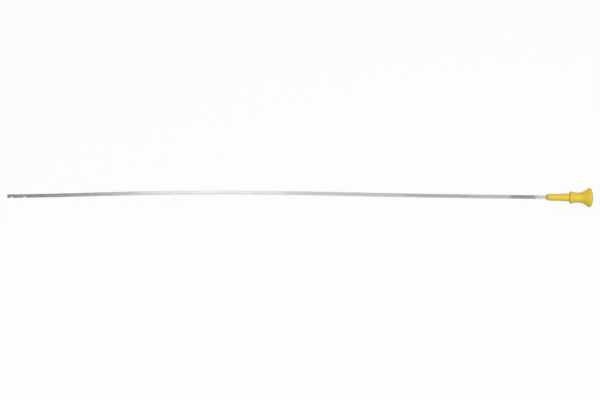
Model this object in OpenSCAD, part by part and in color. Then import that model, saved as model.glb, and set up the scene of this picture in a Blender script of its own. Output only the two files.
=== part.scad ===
// Engine oil dipstick: a long flat steel strip, slightly bowed, moulded into a trumpet-shaped handle.
// Millimetres. X runs along the handle's axis, from the strip's tip towards the handle.
// Z is up from the floor that the tip and the handle's rim touch. The origin is on that floor,
// halfway along the whole length.

/* [Strip] */
// Length that shows, from the tip to the handle's nose
strip_l = 647; // [400:1:900]
// Width
strip_w = 4.8; // [3.6:0.1:5.4]
// Thickness
strip_t = 0.9; // [0.6:0.1:1.4]
// Radius of the two corners at the tip
tip_r = 0.8; // [0.3:0.1:1.5]
// Height of the arch, above the strip's even rise from the tip to the handle
bow_h = 6.2; // [0:0.1:12]
// From the tip's end to the arch's highest point
bow_x = 252; // [200:1:300]
// Steepness of the arch: the larger, the straighter both ends of the strip
bow_steep = 5.6; // [5:0.1:8]

/* [Level notches] */
// From the tip's end to the middle of the lower level's round notch
low_x = 5.5; // [4:0.1:9]
// Width of the round notch
low_w = 1.9; // [1.2:0.1:2.6]
// Depth of the round notch
low_h = 2; // [1.4:0.1:2.4]
// From the tip's end to the straight side of the upper level's notch
full_x = 19.9; // [14:0.1:40]
// Length of the upper notch's slope
full_l = 3.9; // [2:0.1:6]
// Depth of the upper notch
full_h = 2.2; // [1.2:0.1:2.4]

/* [Tang] */
// Plastic between the strip's hidden end and the handle's domed end
tang_cover = 20.9; // [14:0.1:26]
// Diameter of the hidden end's holes, which the plastic fills
lock_d = 2.2; // [1.4:0.1:2.8]
// From the hidden end to the middle of the nearest hole
lock_x = 7; // [4:0.5:9]
// Distance between the holes
lock_pitch = 11; // [5:0.5:12]

/* [Sleeve] */
// Diameter of the round sleeve that enters the tube
sleeve_d = 8.5; // [7.6:0.1:9.5]
// Length of the sleeve's round part
sleeve_l = 10; // [5:0.1:20]
// Length of the rounded nose
nose_l = 6.4; // [3:0.1:9]
// Plastic left beside the strip on the nose's end face
nose_rim = 0.25; // [0.2:0.05:0.6]
// Length of the taper between the round part and the collar
taper_l = 12; // [6:0.1:20]
// How much the taper adds to the sleeve's diameter
taper_d = 1.3; // [0.2:0.1:1.6]
// Size of the sloped corner between the taper and the collar's face
corner = 1.2; // [0.3:0.1:1.4]

/* [Collar and neck] */
// Diameter of the collar that stops on the tube's mouth
collar_d = 14.7; // [14.2:0.1:20]
// Length of the collar's round edge
collar_l = 2.7; // [1.5:0.1:6]
// Bevel on the collar's front edge
collar_edge = 0.3; // [0.1:0.1:0.6]
// Radius of the hollow curve from the collar's back down to the neck
collar_back_r = 6; // [3:0.5:12]
// Diameter of the neck
neck_d = 12.3; // [11:0.1:13]
// Length of the neck's round part
neck_l = 4.7; // [2:0.1:12]

/* [Flare] */
// Radius of the hollow curve from the neck into the flare
flare_r = 11.5; // [8:0.5:15]
// Slope of the flare where it meets the rim, in degrees from the axis
flare_a = 32; // [25:1:40]
// Diameter over the rim
rim_d = 23; // [22:0.1:30]
// Rounding of the rim
rim_r = 2.5; // [1.5:0.1:3.6]
// Height of the domed end above the rim's widest line
dome_h = 4.4; // [4.1:0.1:8]

/* [Hidden] */
$fn = 96;
// Number of straight pieces that the bowed strip is drawn with
bow_steps = 64;
// Length of a cutting shape beyond the faces that it goes through
over = 1;
axis_z = rim_d / 2;

sleeve_r = sleeve_d / 2;
nose_r = strip_w / 2 + nose_rim;
// Radius of the nose's long curve, which runs into the sleeve without an edge
nose_curve_r = (pow(sleeve_r - nose_r, 2) + pow(nose_l, 2)) / (2 * (sleeve_r - nose_r));
taper_s = nose_l + sleeve_l;
taper_r = sleeve_r + taper_d / 2;
collar_s = taper_s + taper_l;
collar_r = collar_d / 2;
neck_r = neck_d / 2;
back_s = collar_s + collar_l;
// Length of the hollow curve behind the collar
back_l = sqrt(pow(collar_back_r, 2) - pow(collar_back_r - (collar_r - neck_r), 2));
neck_s = back_s + back_l;
flare_s = neck_s + neck_l;
// End of the flare's curve, where its straight slope starts
slope_r = neck_r + flare_r * (1 - cos(flare_a));
slope_s = flare_s + flare_r * sin(flare_a);
// Centre of the rim's rounding, and the point where the slope touches it
rim_c = rim_d / 2 - rim_r;
touch_r = rim_c + rim_r * cos(flare_a);
touch_s = slope_s + (touch_r - slope_r) / tan(flare_a);
rim_s = touch_s + rim_r * sin(flare_a);
end_s = rim_s + dome_h;
// The dome's radius, and the point where the dome touches the rim's rounding
dome_r = (pow(dome_h, 2) + pow(rim_c, 2) - pow(rim_r, 2)) / (2 * (dome_h - rim_r));
dome_c = end_s - dome_r;
dome_touch_r = dome_r * rim_c / (dome_r - rim_r);
dome_touch_s = dome_c + dome_r * (rim_s - dome_c) / (dome_r - rim_r);

tang_l = end_s - tang_cover;
nose_x = strip_l - (strip_l + end_s) / 2;
tip_x = nose_x - strip_l;
bow_at = bow_x / strip_l;

// Height of the arch at a share u of the strip's length from the tip
function bow_z(u) =
    bow_h * pow(u / bow_at, bow_at * bow_steep)
        * pow((1 - u) / (1 - bow_at), (1 - bow_at) * bow_steep);

// Height of the middle of the strip's thickness, which runs level into the handle
function mid_z(u) = strip_t / 2 + (axis_z - strip_t / 2) * (1 - pow(1 - u, 2)) + bow_z(u);

// One long side of the strip as seen from its edge, drawn past both ends
function side(dz) = concat(
    [[tip_x - over, mid_z(0) + dz]],
    [for (i = [0:bow_steps]) [tip_x + strip_l * i / bow_steps, mid_z(i / bow_steps) + dz]],
    [[nose_x + tang_l + over, axis_z + dz]]
);

function backwards(points) = [for (i = [len(points) - 1:-1:0]) points[i]];

// The strip seen from its edge
module strip_side() {
    polygon(concat(side(-strip_t / 2), backwards(side(strip_t / 2))));
}

// The strip seen from above
module strip_plan() {
    difference() {
        union() {
            translate([tip_x + tip_r, -strip_w / 2])
                square([strip_l + tang_l - tip_r, strip_w]);
            translate([tip_x, tip_r - strip_w / 2])
                square([tip_r + over, strip_w - 2 * tip_r]);
            for (y = [tip_r - strip_w / 2, strip_w / 2 - tip_r])
                translate([tip_x + tip_r, y])
                    circle(r = tip_r);
        }
        translate([tip_x, 0]) {
            low_notch();
            full_notch();
        }
        for (i = [0, 1])
            translate([nose_x + tang_l - lock_x - i * lock_pitch, 0])
                circle(d = lock_d);
    }
}

// A punched notch with a round bottom
module low_notch() {
    translate([low_x, low_h - low_w / 2 - strip_w / 2])
        circle(d = low_w);
    translate([low_x - low_w / 2, -strip_w / 2 - over])
        square([low_w, low_h - low_w / 2 + over]);
}

// A notch with a straight side towards the tip and a slope towards the handle
module full_notch() {
    translate([full_x, -strip_w / 2])
        polygon([[0, -over], [0, full_h], [full_l, 0], [full_l, -over]]);
}

module blade() {
    color([0.72, 0.73, 0.72])
        intersection() {
            translate([0, strip_w / 2 + over, 0])
                rotate([90, 0, 0])
                    linear_extrude(height = strip_w + 2 * over)
                        strip_side();
            translate([0, 0, -over])
                linear_extrude(height = axis_z + bow_h + strip_t + 2 * over)
                    strip_plan();
        }
}

// Half sections of the handle: x is the radius, y the distance from the nose's end face
module nose_half() {
    intersection() {
        square([sleeve_r, nose_l + over]);
        translate([sleeve_r - nose_curve_r, nose_l])
            circle(r = nose_curve_r);
    }
}

module sleeve_half() {
    translate([0, nose_l])
        square([sleeve_r, sleeve_l + over]);
    polygon([
        [0, taper_s],
        [sleeve_r, taper_s],
        [taper_r, collar_s - corner],
        [taper_r + corner, collar_s],
        [taper_r + corner, collar_s + over],
        [0, collar_s + over]
    ]);
}

module collar_half() {
    polygon([
        [0, collar_s],
        [collar_r - collar_edge, collar_s],
        [collar_r, collar_s + collar_edge],
        [collar_r, back_s],
        [0, back_s]
    ]);
    difference() {
        translate([0, back_s - over])
            square([collar_r, back_l + over]);
        translate([neck_r + collar_back_r, neck_s])
            circle(r = collar_back_r);
    }
    translate([0, neck_s - over])
        square([neck_r, neck_l + 2 * over]);
}

module flare_half() {
    difference() {
        polygon([
            [0, flare_s],
            [neck_r, flare_s],
            [slope_r, slope_s],
            [touch_r, touch_s],
            [rim_c, rim_s],
            [0, rim_s]
        ]);
        translate([neck_r + flare_r, flare_s])
            circle(r = flare_r);
    }
    translate([rim_c, rim_s])
        circle(r = rim_r);
    intersection() {
        polygon([
            [0, slope_s],
            [rim_c, rim_s],
            [dome_touch_r, dome_touch_s],
            [dome_touch_r, end_s + over],
            [0, end_s + over]
        ]);
        translate([0, dome_c])
            circle(r = dome_r);
    }
}

module handle_body() {
    translate([nose_x, 0, axis_z])
        rotate([0, 90, 0])
            rotate_extrude() {
                nose_half();
                sleeve_half();
                collar_half();
                flare_half();
            }
}

// The strip's hidden end with its holes, which the plastic closes around
module tang() {
    translate([0, 0, axis_z - strip_t / 2])
        linear_extrude(height = strip_t)
            intersection() {
                strip_plan();
                translate([nose_x - over, -strip_w])
                    square([tang_l + 2 * over, 2 * strip_w]);
            }
}

module handle() {
    color([0.92, 0.77, 0.2])
        difference() {
            handle_body();
            tang();
        }
}

blade();
handle();
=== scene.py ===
import math

import bmesh
import bpy
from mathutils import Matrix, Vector


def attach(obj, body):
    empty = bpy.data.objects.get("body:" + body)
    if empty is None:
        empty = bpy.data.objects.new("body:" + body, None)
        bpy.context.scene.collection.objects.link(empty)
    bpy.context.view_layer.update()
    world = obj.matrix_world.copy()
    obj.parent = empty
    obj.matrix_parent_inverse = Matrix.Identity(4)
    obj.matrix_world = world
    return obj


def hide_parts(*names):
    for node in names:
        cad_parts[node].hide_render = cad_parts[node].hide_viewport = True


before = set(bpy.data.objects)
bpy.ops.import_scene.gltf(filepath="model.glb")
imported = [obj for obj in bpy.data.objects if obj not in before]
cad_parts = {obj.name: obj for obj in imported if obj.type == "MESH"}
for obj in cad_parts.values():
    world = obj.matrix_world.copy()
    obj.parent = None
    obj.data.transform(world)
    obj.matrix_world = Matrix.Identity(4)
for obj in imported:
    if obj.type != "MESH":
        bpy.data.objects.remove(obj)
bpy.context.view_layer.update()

# ------------------------------------------------------------------------------------------
# The strip: one flat length of cold-rolled spring steel, slit and dressed to round edges,
# with two level notches punched into one edge near the tip. It has taken a slight set from its
# tube. Its hidden end, with two holes, lies in the handle that is moulded round it.
# ------------------------------------------------------------------------------------------
MM = 0.001
strip_l, strip_w, strip_t = 647.0, 4.8, 0.9
strip_edge = 0.16                     # rounding of the dressed edges
edge_steps = 4                        # facets in that rounding
tip_corner = 0.8
punched_corner = 0.3                  # rounding of the notches' corners by the punch
slope_foot = 0.8                      # softer corner where the slope meets the edge
low_x, low_w, low_h = 5.5, 1.9, 2.0   # lower level: round-bottomed notch
full_x, full_l, full_h = 19.9, 3.9, 2.2   # upper level: straight side and slope
arch_h, arch_x, arch_steep = 6.2, 252.0, 5.6
rim_d, handle_l = 23.0, 56.376
tang_cover = 20.9                     # plastic between the hidden end and the dome
hole_d, hole_gap, hole_pitch = 2.2, 7.0, 11.0
hole_sides = 24
station = 4.0                         # spacing of the cross sections that follow the bow
# Oil at the tip, then painted reflection along the steel: colour, how strong, where along X it
# starts and stops, soft end
oil_and_painted_reflection = (("#A39E8C", 0.6, -360.0, -341.0, 4.0),
          ("#BDBDBC", 0.55, -341.0, -321.0, 4.0),
          ("#BDC1D0", 0.55, -321.0, -277.0, 5.0),
          ("#BDBBB4", 0.25, -20.0, 34.0, 8.0),
          ("#BDBBB4", 0.5, 128.0, 206.0, 7.0),
          ("#A6A7A6", 0.95, 253.0, 281.0, 4.0),
          ("#F4F5F7", 0.95, 285.0, 300.0, 4.0))

axis_z = rim_d / 2
tang_l = handle_l - tang_cover
tip_x = -(strip_l + handle_l) / 2
nose_x = tip_x + strip_l


def filleted(corners, turn=math.radians(15)):
    """A closed outline from (x, y, radius) corners, with an arc where the radius isn't 0."""
    points = []
    for i, (x, y, radius) in enumerate(corners):
        here = Vector((x, y))
        if radius == 0:
            points.append(here)
            continue
        back = (Vector(corners[i - 1][:2]) - here).normalized()
        ahead = (Vector(corners[(i + 1) % len(corners)][:2]) - here).normalized()
        half = back.angle(ahead) / 2
        centre = here + (back + ahead).normalized() * radius / math.sin(half)
        start = here + back * radius / math.tan(half) - centre
        sweep = math.pi - 2 * half
        if start.y * back.x - start.x * back.y < 0:
            sweep = -sweep
        steps = max(2, math.ceil(abs(sweep) / turn))
        for k in range(steps + 1):
            a = sweep * k / steps
            points.append(centre + Vector((start.x * math.cos(a) - start.y * math.sin(a),
                                           start.x * math.sin(a) + start.y * math.cos(a))))
    return points


def with_stations(points, spacing):
    """The outline again, with a point wherever a long side crosses a multiple of spacing."""
    result = []
    for i, p in enumerate(points):
        q = points[(i + 1) % len(points)]
        result.append(p)
        first, last = sorted((p.x, q.x))
        if last - first < spacing:
            continue
        crossings = [k * spacing for k in range(math.ceil(first / spacing + 0.1),
                                                math.floor(last / spacing - 0.1) + 1)]
        for x in crossings if q.x > p.x else reversed(crossings):
            result.append(p.lerp(q, (x - p.x) / (q.x - p.x)))
    return result


def inset(points, distance):
    """Each point of an outline moved into the metal, which lies on the outline's left."""
    moved = []
    for i, p in enumerate(points):
        back = (p - points[i - 1]).normalized()
        ahead = (points[(i + 1) % len(points)] - p).normalized()
        n1, n2 = Vector((-back.y, back.x)), Vector((-ahead.y, ahead.x))
        moved.append(p + (n1 + n2) / (1 + n1.dot(n2)) * distance)
    return moved


def strip_middle(x):
    """Height of the middle of the strip's thickness, x millimetres from its tip."""
    u = min(x / strip_l, 1.0)
    at = arch_x / strip_l
    rise = strip_t / 2 + (axis_z - strip_t / 2) * (1 - (1 - u) ** 2)
    from_tip = (u / at) ** (at * arch_steep)
    from_nose = ((1 - u) / (1 - at)) ** ((1 - at) * arch_steep)
    return rise + arch_h * from_tip * from_nose


def finished(name, bm, sharp):
    """A mesh object from bm, smooth but for edges sharper than the given angle in degrees."""
    bmesh.ops.recalc_face_normals(bm, faces=bm.faces)
    mesh = bpy.data.meshes.new(name)
    bm.to_mesh(mesh)
    bm.free()
    for polygon in mesh.polygons:
        polygon.use_smooth = True
    mesh.set_sharp_from_angle(angle=math.radians(sharp))
    piece = bpy.data.objects.new(name, mesh)
    bpy.context.scene.collection.objects.link(piece)
    weighted = piece.modifiers.new("flat_faces", "WEIGHTED_NORMAL")
    weighted.keep_sharp = True
    return piece


def punched_strip():
    """The flat outline with notches and holes, given rounded edges, then bent to the bow."""
    half_w = strip_w / 2
    low_0, low_1 = low_x - low_w / 2, low_x + low_w / 2
    low_bottom = low_w / 2 - 0.01     # the two arcs of the round bottom just don't meet
    outline = filleted([
        (0, half_w, tip_corner),
        (0, -half_w, tip_corner),
        (low_0, -half_w, punched_corner),
        (low_0, -half_w + low_h, low_bottom),
        (low_1, -half_w + low_h, low_bottom),
        (low_1, -half_w, punched_corner),
        (full_x, -half_w, punched_corner),
        (full_x, -half_w + full_h, punched_corner),
        (full_x + full_l, -half_w, slope_foot),
        (strip_l + tang_l, -half_w, punched_corner),
        (strip_l + tang_l, half_w, punched_corner),
    ])
    holes = []
    for i in range(2):
        x = strip_l + tang_l - hole_gap - i * hole_pitch
        holes.append([Vector((x + hole_d / 2 * math.cos(a), -hole_d / 2 * math.sin(a)))
                      for a in (2 * math.pi * k / hole_sides for k in range(hole_sides))])
    outlines = [with_stations(outline, station)] + holes

    # The section's edge, from the lower face to the upper one: how far in, and how high. Its
    # first point is on the flat face, so that the rounding's shading ends there
    edge = [(strip_edge * 1.5, -strip_t / 2)]
    for k in range(edge_steps + 1):
        a = math.pi / 2 * k / edge_steps
        edge.append((strip_edge * (1 - math.sin(a)),
                     strip_edge * (1 - math.cos(a)) - strip_t / 2))
    edge += [(d, -z) for d, z in reversed(edge)]

    bm = bmesh.new()
    faces = {}
    for points in outlines:
        rings = [[bm.verts.new((p.x, p.y, z)) for p in inset(points, d)] for d, z in edge]
        for lower, upper in zip(rings, rings[1:]):
            for i in range(len(lower)):
                bm.faces.new((lower[i - 1], lower[i], upper[i], upper[i - 1]))
        for side, ring in (("under", rings[0]), ("over", rings[-1])):
            faces.setdefault(side, []).extend(
                bm.edges.get((ring[i - 1], ring[i])) for i in range(len(ring)))
    for edges in faces.values():
        bmesh.ops.triangle_fill(bm, use_beauty=True, edges=edges)
    for k in range(1, int((strip_l + tang_l) / station) + 1):
        bmesh.ops.bisect_plane(bm, geom=bm.verts[:] + bm.edges[:] + bm.faces[:], dist=1e-4,
                               plane_co=(k * station, 0, 0), plane_no=(1, 0, 0))
    for v in bm.verts:
        z = v.co.z + strip_middle(v.co.x)
        v.co = Vector((v.co.x + tip_x, v.co.y, z)) * MM
    # The grain's direction for the material: U runs along the strip
    grain = bm.loops.layers.uv.new("grain")
    for face in bm.faces:
        for loop in face.loops:
            loop[grain].uv = (loop.vert.co.x, loop.vert.co.y + loop.vert.co.z)
    return finished("steel_strip", bm, sharp=40)


def linear(hex_colour):
    """The linear colour that the nodes take, from sRGB hex."""
    parts = [int(hex_colour[i:i + 2], 16) / 255 for i in (1, 3, 5)]
    return [c / 12.92 if c <= 0.04045 else ((c + 0.055) / 1.055) ** 2.4 for c in parts] + [1.0]


def add(tree, kind, inputs=None, **settings):
    """Adds a node. Each of its inputs, by name or number, takes a value or a node's socket."""
    node = tree.nodes.new(kind)
    for name, value in settings.items():
        setattr(node, name, value)
    for name, value in (inputs or {}).items():
        if isinstance(value, bpy.types.NodeSocket):
            tree.links.new(value, node.inputs[name])
        else:
            node.inputs[name].default_value = value
    return node


def cold_rolled_spring_steel():
    """Bright steel with a silky sheen: fine lines run along it from the rolls, so a reflection
    spreads across the strip and stays short along it. A thin oil film clouds it in patches."""
    material = bpy.data.materials.new("cold_rolled_spring_steel")
    material.use_nodes = True
    tree = material.node_tree
    tree.nodes.clear()
    place = add(tree, "ShaderNodeTexCoord").outputs["Object"]

    # Rolling lines are about 0.05 mm apart; they are drawn at 0.3 mm so that they show
    lines = add(tree, "ShaderNodeTexNoise", {
        "Vector": add(tree, "ShaderNodeMapping", {
            "Vector": place,
            "Scale": (1 / (30 * MM), 1 / (0.3 * MM), 1 / (0.3 * MM))}).outputs[0],
        "Scale": 1.0, "Detail": 3.0, "Roughness": 0.6}).outputs[0]
    # Patches of oil film, about 25 mm long
    film = add(tree, "ShaderNodeTexNoise", {
        "Vector": add(tree, "ShaderNodeMapping", {
            "Vector": place, "Scale": (1 / (25 * MM), 1 / (6 * MM), 1 / (6 * MM))}).outputs[0],
        "Scale": 1.0, "Detail": 4.0, "Roughness": 0.55}).outputs[0]

    colour = add(tree, "ShaderNodeMix", {
        0: lines, 6: linear("#D4D3CC"), 7: linear("#DFDED7")}, data_type="RGBA").outputs[2]
    clouded = add(tree, "ShaderNodeMapRange", {
        "Value": film, "From Min": 0.45, "From Max": 0.75, "To Max": 0.2}).outputs[0]
    colour = add(tree, "ShaderNodeMix", {
        0: clouded, 6: colour, 7: linear("#BAB8AD")}, data_type="RGBA").outputs[2]

    # From the tip: oil residue on the last millimetres. The rest is painted reflection,
    # lighter and darker stretches that copy how bright the bowed face's reflection is along
    # it: a grey and then a bluish stretch, a darker one halfway and one further on, a dark
    # grey band short of the nose and a lighter stretch before it. Each is uneven over a few
    # millimetres
    along = add(tree, "ShaderNodeSeparateXYZ", {"Vector": place}).outputs["X"]
    patchy = add(tree, "ShaderNodeMapRange", {
        "Value": add(tree, "ShaderNodeTexNoise", {
            "Vector": place, "Scale": 1 / (2.5 * MM), "Detail": 2.0}).outputs[0],
        "From Min": 0.35, "From Max": 0.6, "To Min": 0.7}).outputs[0]
    for tone, amount, start, stop, soft in oil_and_painted_reflection:
        rise = add(tree, "ShaderNodeMapRange", {
            "Value": along, "From Min": (start - soft) * MM, "From Max": (start + soft) * MM},
            interpolation_type="SMOOTHSTEP").outputs[0]
        fall = add(tree, "ShaderNodeMapRange", {
            "Value": along, "From Min": (stop - soft) * MM, "From Max": (stop + soft) * MM,
            "To Min": amount, "To Max": 0.0}, interpolation_type="SMOOTHSTEP").outputs[0]
        stretch = add(tree, "ShaderNodeMath", {
            0: rise, 1: fall}, operation="MULTIPLY").outputs[0]
        amount = add(tree, "ShaderNodeMath", {
            0: stretch, 1: patchy}, operation="MULTIPLY").outputs[0]
        colour = add(tree, "ShaderNodeMix", {
            0: amount, 6: colour, 7: linear(tone)}, data_type="RGBA").outputs[2]
    # The slit edges are coloured darker than the rolled faces: painted shade, standing in for
    # the dark reflection along the edges
    level = add(tree, "ShaderNodeMath", {
        0: add(tree, "ShaderNodeSeparateXYZ", {
            "Vector": add(tree, "ShaderNodeTexCoord").outputs["Normal"]}).outputs["Z"]},
        operation="ABSOLUTE").outputs[0]
    colour = add(tree, "ShaderNodeMix", {
        0: add(tree, "ShaderNodeMapRange", {
            "Value": level, "From Min": 0.2, "From Max": 0.8}).outputs[0],
        6: linear("#85837D"), 7: colour}, data_type="RGBA").outputs[2]
    roughness = add(tree, "ShaderNodeMapRange", {
        "Value": film, "From Min": 0.3, "From Max": 0.7, "To Min": 0.28, "To Max": 0.36})
    bump = add(tree, "ShaderNodeBump", {
        "Height": lines, "Strength": 0.35, "Distance": 0.01 * MM})
    shader = add(tree, "ShaderNodeBsdfPrincipled", {
        "Base Color": colour, "Roughness": roughness.outputs[0],
        "Normal": bump.outputs[0], "Metallic": 1.0, "Anisotropic": 0.7,
        "Anisotropic Rotation": 0.25,
        "Tangent": add(tree, "ShaderNodeTangent", direction_type="UV_MAP",
                       uv_map="grain").outputs[0]})
    add(tree, "ShaderNodeOutputMaterial", {"Surface": shader.outputs[0]})
    return material


strip = punched_strip()
strip.data.materials.append(cold_rolled_spring_steel())
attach(strip, "root")
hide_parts("blade")

# ------------------------------------------------------------------------------------------
# The handle: one shot of yellow glass-filled nylon, moulded round the strip's end. From the
# nose it has a sleeve that seals the tube, a stop collar, a neck and a flared grip. The mould
# left a fine grain, a parting line in the strip's plane and a gate mark on the domed end.
# ------------------------------------------------------------------------------------------
sleeve_r, nose_r, nose_l = 4.25, 2.65, 6.4
taper_s, taper_r = 16.4, 4.9          # start of the taper, and its radius at the collar
taper_blend = 20.0                    # radius that blends the sleeve into the taper
seat_s, seat_fillet = 28.4, 1.2       # the collar's face, and the hollow corner before it
collar_r, collar_l, collar_back_r = 7.35, 2.7, 6.0
collar_front_edge, collar_back_edge = 0.35, 0.4
neck_r, neck_l = 6.15, 4.7
flare_curve_r, flare_slope = 11.5, math.radians(32)
rim_round, dome_h = 2.5, 4.4
gate_r, gate_depth, gate_lip = 1.1, 0.25, 0.2
slot_gap, slot_depth = 0.07, 0.9      # around the strip where it enters the nose
slot_corner = 0.15
parting_ridge = 0.035
ring_segments = 144


def swept(centre, radius, start, stop, steps):
    """Points on an arc in the half section, from one angle to another in radians."""
    angles = (start + (stop - start) * k / steps for k in range(steps + 1))
    return [(centre[0] + radius * math.cos(a), centre[1] + radius * math.sin(a), 0)
            for a in angles]


def handle_section():
    """The half section: each corner's distance from the nose's edge, radius and rounding."""
    nose_curve = ((sleeve_r - nose_r) ** 2 + nose_l ** 2) / (2 * (sleeve_r - nose_r))
    back_s = seat_s + collar_l
    back_angle = math.acos((neck_r + collar_back_r - collar_r) / collar_back_r)
    neck_s = back_s + collar_back_r * math.sin(back_angle)
    flare_s = neck_s + neck_l
    slope_r = neck_r + flare_curve_r * (1 - math.cos(flare_slope))
    slope_s = flare_s + flare_curve_r * math.sin(flare_slope)
    rim_c = rim_d / 2 - rim_round
    touch_r = rim_c + rim_round * math.cos(flare_slope)
    touch_s = slope_s + (touch_r - slope_r) / math.tan(flare_slope)
    rim_s = touch_s + rim_round * math.sin(flare_slope)
    dome_r = (dome_h ** 2 + rim_c ** 2 - rim_round ** 2) / (2 * (dome_h - rim_round))
    dome_c = rim_s + dome_h - dome_r
    dome_angle = math.atan2(rim_c, rim_s - dome_c)
    gate_angle = math.asin((gate_r + gate_lip) / dome_r)
    end_s = rim_s + dome_h

    nose_angle = math.asin(nose_l / nose_curve)
    section = swept((nose_l, sleeve_r - nose_curve), nose_curve,
                    math.pi / 2 + nose_angle, math.pi / 2, 20)
    section += [(taper_s - 2, sleeve_r, 0), (taper_s, sleeve_r, taper_blend),
                (seat_s, taper_r, seat_fillet), (seat_s, collar_r, collar_front_edge),
                (back_s, collar_r, collar_back_edge)]
    section += swept((neck_s, neck_r + collar_back_r), collar_back_r,
                     -math.pi / 2 - back_angle, -math.pi / 2, 10)[1:]
    section += swept((flare_s, neck_r + flare_curve_r), flare_curve_r,
                     -math.pi / 2, -math.pi / 2 + flare_slope, 14)
    section += [(slope_s + (touch_s - slope_s) * k / 4,
                 slope_r + (touch_r - slope_r) * k / 4, 0) for k in (1, 2, 3)]
    section += swept((rim_s, rim_c), rim_round,
                     math.pi / 2 + flare_slope, dome_angle, 16)
    section += swept((dome_c, 0), dome_r, dome_angle, gate_angle, 16)[1:-1]
    gate_s = dome_c + dome_r * math.cos(gate_angle)
    # The gate mark: a dished ring with the stub of the sprue in its middle, below the dome
    section += [(gate_s, gate_r + gate_lip, 0.3), (gate_s - gate_depth, gate_r, 0.1),
                (gate_s - gate_depth, gate_r / 2, 0.05),
                (end_s - gate_depth / 2, gate_r / 2.4, 0.1), (end_s - gate_depth / 2, 0, 0)]
    return section


def moulded_handle():
    """The half section turned about the axis, with the strip's slot in the nose's end face."""
    section = filleted(handle_section())
    # A uniform ring of angles from +Y, and closer ones at the parting line on either side
    angles = [2 * math.pi * k / ring_segments for k in range(ring_segments)]
    close = [math.radians(a) for a in (-0.9, -0.45, 0.45, 0.9)]
    angles = sorted(angles + [side + a for side in (0, math.pi) for a in close])

    bm = bmesh.new()
    rings = []
    for p in section[:-1]:
        ring = []
        for a in angles:
            # The skin lies a little inside the section, but for the ridge at the parting line
            off = min(abs(math.sin(a)) / math.sin(close[-1]), 1.0)
            r = max(p.y - parting_ridge * off, 0.02)
            ring.append(bm.verts.new((p.x, r * math.cos(a), r * math.sin(a))))
        rings.append(ring)
    for near, far in zip(rings, rings[1:]):
        for i in range(len(near)):
            bm.faces.new((near[i - 1], near[i], far[i], far[i - 1]))
    tip = bm.verts.new((section[-1].x, 0, 0))
    for i in range(len(angles)):
        bm.faces.new((rings[-1][i - 1], rings[-1][i], tip))

    # The nose's end face, with the slot that the strip comes out of
    y, z = strip_w / 2 + slot_gap, strip_t / 2 + slot_gap
    mouth = filleted([(y, z, slot_corner), (-y, z, slot_corner),
                      (-y, -z, slot_corner), (y, -z, slot_corner)])
    mouth = [bm.verts.new((0, p.x, p.y)) for p in mouth]
    inner = [bm.verts.new((slot_depth, v.co.y, v.co.z)) for v in mouth]
    for i in range(len(mouth)):
        bm.faces.new((mouth[i - 1], mouth[i], inner[i], inner[i - 1]))
    bm.faces.new(inner)
    bmesh.ops.triangle_fill(bm, use_beauty=True, edges=[
        bm.edges.get((loop[i - 1], loop[i])) for loop in (mouth, rings[0])
        for i in range(len(loop))])
    for v in bm.verts:
        v.co = Vector((v.co.x + nose_x, v.co.y, v.co.z + axis_z)) * MM
    return finished("moulded_handle", bm, sharp=35)


def moulded_yellow_nylon():
    """Opaque yellow nylon with a satin skin: broad soft highlights broken by the mould's fine
    grain, a faint cloudiness in the pigment, painted shade round the nose with some soil where
    the strip enters, and painted shade in the corner before the collar."""
    material = bpy.data.materials.new("moulded_yellow_nylon")
    material.use_nodes = True
    tree = material.node_tree
    tree.nodes.clear()
    place = add(tree, "ShaderNodeTexCoord").outputs["Object"]

    # Spark-eroded grain of about 0.1 mm, drawn at 0.35 mm so that it shows
    grain = add(tree, "ShaderNodeTexNoise", {
        "Vector": place, "Scale": 1 / (0.35 * MM), "Detail": 2.0}).outputs[0]
    # Clouds in the pigment, about 4 mm across and drawn out along the flow
    clouds = add(tree, "ShaderNodeTexNoise", {
        "Vector": add(tree, "ShaderNodeMapping", {
            "Vector": place, "Scale": (1 / (7 * MM), 1 / (4 * MM), 1 / (4 * MM))}).outputs[0],
        "Scale": 1.0, "Detail": 3.0}).outputs[0]
    colour = add(tree, "ShaderNodeMix", {
        "Factor": add(tree, "ShaderNodeMapRange", {
            "Value": clouds, "From Min": 0.35, "From Max": 0.65}).outputs[0],
        6: linear("#E4C42E"), 7: linear("#EACD36")}, data_type="RGBA").outputs[2]

    # Painted shade round the nose, with some soil where the strip enters, and painted shade in
    # the
    # corner in front of the collar: place, reach, depth
    along = add(tree, "ShaderNodeSeparateXYZ", {"Vector": place}).outputs["X"]
    for at, reach, depth in ((nose_x, 3.4, 0.7), (nose_x + seat_s - 0.1, 0.9, 0.5)):
        distance = add(tree, "ShaderNodeMath", {
            0: add(tree, "ShaderNodeMath", {0: along, 1: at * MM},
                   operation="SUBTRACT").outputs[0]}, operation="ABSOLUTE").outputs[0]
        near = add(tree, "ShaderNodeMapRange", {
            "Value": distance, "From Max": reach * MM, "To Min": depth, "To Max": 0.0},
            interpolation_type="SMOOTHSTEP").outputs[0]
        uneven = add(tree, "ShaderNodeMapRange", {
            "Value": clouds, "From Min": 0.3, "From Max": 0.6, "To Min": 0.6}).outputs[0]
        colour = add(tree, "ShaderNodeMix", {
            "Factor": add(tree, "ShaderNodeMath", {0: near, 1: uneven},
                          operation="MULTIPLY").outputs[0],
            6: colour, 7: linear("#87754A")}, data_type="RGBA").outputs[2]

    roughness = add(tree, "ShaderNodeMapRange", {
        "Value": clouds, "From Min": 0.3, "From Max": 0.7, "To Min": 0.42, "To Max": 0.52})
    bump = add(tree, "ShaderNodeBump", {
        "Height": grain, "Strength": 0.5, "Distance": 0.02 * MM})
    shader = add(tree, "ShaderNodeBsdfPrincipled", {
        "Base Color": colour, "Roughness": roughness.outputs[0], "Normal": bump.outputs[0],
        "IOR": 1.53})
    add(tree, "ShaderNodeOutputMaterial", {"Surface": shader.outputs[0]})
    return material


handle = moulded_handle()
handle.data.materials.append(moulded_yellow_nylon())
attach(handle, "root")
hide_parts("handle")

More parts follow.
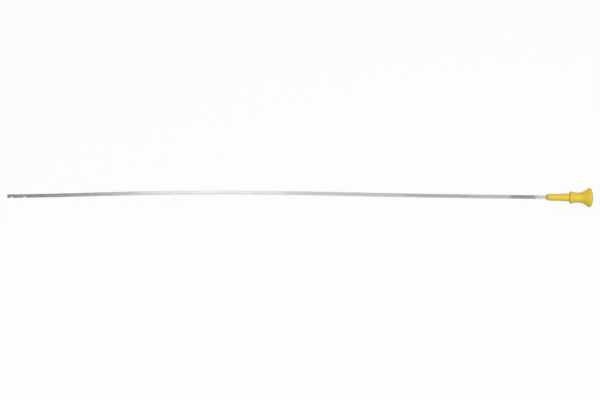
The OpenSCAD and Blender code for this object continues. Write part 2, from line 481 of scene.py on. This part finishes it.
# ------------------------------------------------------------------------------------------
# The floor: one wide sheet of matt white paper, seen as plain white. It keeps the soft shadow
# of what lies on it.
# ------------------------------------------------------------------------------------------
floor_size = 16.0
floor_drop = 0.05 * MM                # keeps the sheet clear of what touches the floor
shadow_share = 0.15                   # how much of the lit paper is seen; the rest is white


def seen_in_picture(tree):
    """1 for the camera's rays and for what metal or glass shows of the background, else 0."""
    rays = add(tree, "ShaderNodeLightPath").outputs
    seen = rays["Is Camera Ray"]
    for kind in ("Is Glossy Ray", "Is Transmission Ray"):
        seen = add(tree, "ShaderNodeMath", {0: seen, 1: rays[kind]},
                   operation="MAXIMUM").outputs[0]
    return seen


def matt_white_paper():
    """Matt paper with no sheen. It reads as the white background, and its shadows stay faint;
    the light that it throws back under the object is that of a grey table."""
    material = bpy.data.materials.new("matt_white_paper")
    material.use_nodes = True
    tree = material.node_tree
    tree.nodes.clear()
    seen = seen_in_picture(tree)
    paper = add(tree, "ShaderNodeBsdfDiffuse", {"Color": add(tree, "ShaderNodeMix", {
        0: seen, 6: linear("#8A8A88"), 7: linear("#FBFBFB")}, data_type="RGBA").outputs[2]})
    white = add(tree, "ShaderNodeEmission", {"Color": (1, 1, 1, 1), "Strength": 1.0})
    share = add(tree, "ShaderNodeMath", {0: seen, 1: 1 - shadow_share}, operation="MULTIPLY")
    add(tree, "ShaderNodeOutputMaterial", {"Surface": add(tree, "ShaderNodeMixShader", {
        0: share.outputs[0], 1: paper.outputs[0], 2: white.outputs[0]}).outputs[0]})
    return material


bm = bmesh.new()
bmesh.ops.create_grid(bm, x_segments=8, y_segments=8, size=floor_size / 2)
sheet = bpy.data.meshes.new("floor")
bm.to_mesh(sheet)
bm.free()
floor = bpy.data.objects.new("floor", sheet)
floor.location.z = -floor_drop
floor.data.materials.append(matt_white_paper())
bpy.context.scene.collection.objects.link(floor)

# ------------------------------------------------------------------------------------------
# The light: an even white room, a large soft lamp above and in front, and a second one where
# the strip's flat face mirrors it, between two grey screens that only reflections show.
# ------------------------------------------------------------------------------------------
room_level = 0.53
camera_height = 55.0                  # degrees above the floor
mirror_distance = 2.0                 # from the strip to the lamp and screens that it mirrors
window = (-0.567, -0.002)             # the mirrored lamp's two sides, along X
screen_w, screen_h = 1.8, 2.6
front_place, front_size, front_power = Vector((0.5, -1.35, 1.95)), (2.0, 1.0), 29.5
mirror_h, mirror_power = 1.3, 1.17

world = bpy.data.worlds.new("white_room")
bpy.context.scene.world = world
world.use_nodes = True
tree = world.node_tree
tree.nodes.clear()
level = add(tree, "ShaderNodeMapRange", {
    "Value": seen_in_picture(tree), "To Min": room_level, "To Max": 1.0})
room = add(tree, "ShaderNodeBackground", {"Color": (1, 1, 1, 1), "Strength": level.outputs[0]})
add(tree, "ShaderNodeOutputWorld", {"Surface": room.outputs[0]})

mirror_axis = Vector((0, math.cos(math.radians(camera_height)),
                      math.sin(math.radians(camera_height))))
facing_strip = mirror_axis.to_track_quat("Z", "Y").to_euler()
lamps = (
    ("front_lamp", front_place, front_place.to_track_quat("Z", "Y").to_euler(),
     front_size, front_power),
    ("mirrored_lamp", mirror_axis * mirror_distance + Vector((sum(window) / 2, 0, 0)),
     facing_strip, (window[1] - window[0], mirror_h), mirror_power),
)
for name, place, turned, size, power in lamps:
    lamp = bpy.data.lights.new(name, "AREA")
    lamp.shape, lamp.size, lamp.size_y, lamp.energy = "RECTANGLE", size[0], size[1], power
    holder = bpy.data.objects.new(name, lamp)
    holder.location, holder.rotation_euler = place, turned
    holder.visible_camera = False
    bpy.context.scene.collection.objects.link(holder)

for name, side, edge, grey in (("screen_tip_side", -1, window[0], "#757A7F"),
                               ("screen_handle_side", 1, window[1], "#C6C6C4")):
    bm = bmesh.new()
    bmesh.ops.create_grid(bm, x_segments=1, y_segments=1, size=0.5)
    bmesh.ops.scale(bm, vec=(screen_w, screen_h, 1), verts=bm.verts)
    mesh = bpy.data.meshes.new(name)
    bm.to_mesh(mesh)
    bm.free()
    material = bpy.data.materials.new(name)
    material.use_nodes = True
    material.node_tree.nodes.clear()
    add(material.node_tree, "ShaderNodeOutputMaterial", {
        "Surface": add(material.node_tree, "ShaderNodeEmission",
                       {"Color": linear(grey), "Strength": 1.0}).outputs[0]})
    mesh.materials.append(material)
    screen = bpy.data.objects.new(name, mesh)
    screen.location = mirror_axis * mirror_distance
    screen.location.x += edge + side * screen_w / 2
    screen.rotation_euler = facing_strip
    screen.visible_camera = screen.visible_diffuse = screen.visible_shadow = False
    screen.visible_transmission = screen.visible_volume_scatter = False
    bpy.context.scene.collection.objects.link(screen)

# ------------------------------------------------------------------------------------------
# The camera: above and in front of the strip and a long way off, so that the strip's far end
# is drawn nearly as large as its middle.
# ------------------------------------------------------------------------------------------
camera_turn, camera_distance = 0.818, 3.0072   # degrees, metres
camera_aim = Vector((0.0006, 0.0, -0.0004))

turn, height = math.radians(camera_turn), math.radians(camera_height)
away = Vector((math.sin(turn) * math.cos(height), -math.cos(turn) * math.cos(height),
               math.sin(height)))
lens = bpy.data.cameras.new("camera")
lens.lens, lens.sensor_width = 150.0, 36.0
camera = bpy.data.objects.new("camera", lens)
camera.location = camera_aim + away * camera_distance
camera.rotation_euler = (-away).to_track_quat("-Z", "Y").to_euler()
bpy.context.scene.collection.objects.link(camera)
bpy.context.scene.camera = camera
bpy.context.scene.view_settings.view_transform = "Standard"
